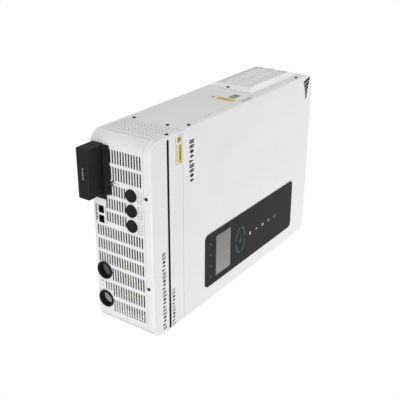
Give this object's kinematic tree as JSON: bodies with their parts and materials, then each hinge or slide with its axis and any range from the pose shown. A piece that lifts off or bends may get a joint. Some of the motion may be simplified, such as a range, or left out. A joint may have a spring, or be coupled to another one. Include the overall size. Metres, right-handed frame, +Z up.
{
  "type": "hybrid solar inverter",
  "caption": "Wall-hung solar inverter in a shallow rounded sheet-metal case, with a display strip, a side air filter and cable entries underneath.",
  "frame": {"origin": "middle of the rear face that rests on the wall", "axes": "+Z up as the unit hangs, +Y into the wall, -Y towards the viewer, +X the viewer's right"},
  "size_m": [0.3688, 0.1272, 0.5853],
  "materials": {
    "powder_coat": "fine satin powder coat",
    "powder_coat_rear": "fine satin powder coat",
    "white_moulding": "satin moulded",
    "black_moulding": "satin moulded",
    "accent_black": "satin",
    "display_glass": "gloss, dark tint",
    "lcd": "satin",
    "frame_black": "satin",
    "board_green": "solder mask",
    "black_rubber": "matt",
    "steel_mesh": "woven",
    "foam": "open cell",
    "black_screw": "black oxide",
    "zinc_steel": "zinc plated",
    "galvanised": "galvanised sheet",
    "copper": "tinned and bare copper",
    "sink_aluminium": "extruded",
    "winding_tape": "wound tape",
    "ferrite": "sintered",
    "cap_sleeve": "shrink sleeve",
    "relay_case": "moulded",
    "film_case": "moulded",
    "terminal_green": "moulded",
    "terminal_black": "moulded",
    "wire_black": "insulation",
    "gold_contact": "plated"
  },
  "bodies": {
    "casing": {"ac_terminal_block": "terminal_black", "battery_busbars": "copper", "battery_grommets": "black_rubber", "battery_studs": "zinc_steel", "bay_shelf": "galvanised", "bay_wires": "wire_black", "board_standoffs": "zinc_steel", "boost_chokes": "winding_tape", "bus_capacitors": "cap_sleeve", "charger_heat_sink": "sink_aluminium", "choke_tray": "galvanised", "clamp_screws": "zinc_steel", "closed_grommets": "black_rubber", "comm_board": "board_green", "connector_panel": "powder_coat", "control_board": "board_green", "display_board": "board_green", "display_glass": "display_glass", "emi_chokes": "winding_tape", "fan_frame_lower": "black_moulding", "fan_frame_upper": "black_moulding", "fan_screws": "black_screw", "film_capacitors": "film_case", "front_cover": "powder_coat", "front_cover_screws": "black_screw", "ground_screw": "zinc_steel", "ground_washer": "zinc_steel", "inverter_heat_sink": "sink_aluminium", "jack_contacts": "gold_contact", "lcd_module": "frame_black", "lcd_screen": "lcd", "main_board": "board_green", "power_transistors": "relay_case", "pv_terminal_block": "terminal_green", "rear_chassis": "powder_coat_rear", "relays": "relay_case", "rj45_jacks": "black_moulding", "shelf_screws": "black_screw", "side_baffle": "galvanised", "stud_blocks": "terminal_black", "terminal_board": "board_green", "top_panel": "powder_coat", "touch_pads": "frame_black", "transformer_cores": "ferrite", "transformer_windings": "winding_tape", "wifi_socket": "frame_black", "wiring_cover_screws": "black_screw"},
    "wiring_cover": {"wiring_cover": "powder_coat", "accent_strip": "accent_black"},
    "filter_cover": {"filter_cover": "white_moulding", "filter_mesh": "steel_mesh", "filter_foam": "foam", "filter_screws": "black_screw"},
    "fan_lower": {"fan_rotor_lower": "black_moulding"},
    "fan_upper": {"fan_rotor_upper": "black_moulding"},
    "wifi_module": {"wifi_module_shell": "black_moulding", "wifi_module_ears": "black_moulding", "wifi_module_board": "board_green", "wifi_module_plug": "black_moulding", "wifi_module_screws": "black_screw"}
  },
  "joints": [
    {"name": "wiring_cover_off", "type": "slide", "parent": "casing", "child": "wiring_cover", "axis": [0, -1, 0], "range_m": [0, 0.08]},
    {"name": "filter_cover_off", "type": "slide", "parent": "casing", "child": "filter_cover", "axis": [-1, 0, 0], "range_m": [0, 0.06]},
    {"name": "fan_lower_spin", "type": "hinge", "parent": "casing", "child": "fan_lower", "pos_m": [-0.169, -0.0525, 0.112], "axis": [-1, 0, 0], "continuous": true},
    {"name": "fan_upper_spin", "type": "hinge", "parent": "casing", "child": "fan_upper", "pos_m": [-0.169, -0.0525, 0.197], "axis": [-1, 0, 0], "continuous": true},
    {"name": "wifi_module_off", "type": "slide", "parent": "casing", "child": "wifi_module", "axis": [0, 0, -1], "range_m": [0, 0.04]}
  ]
}
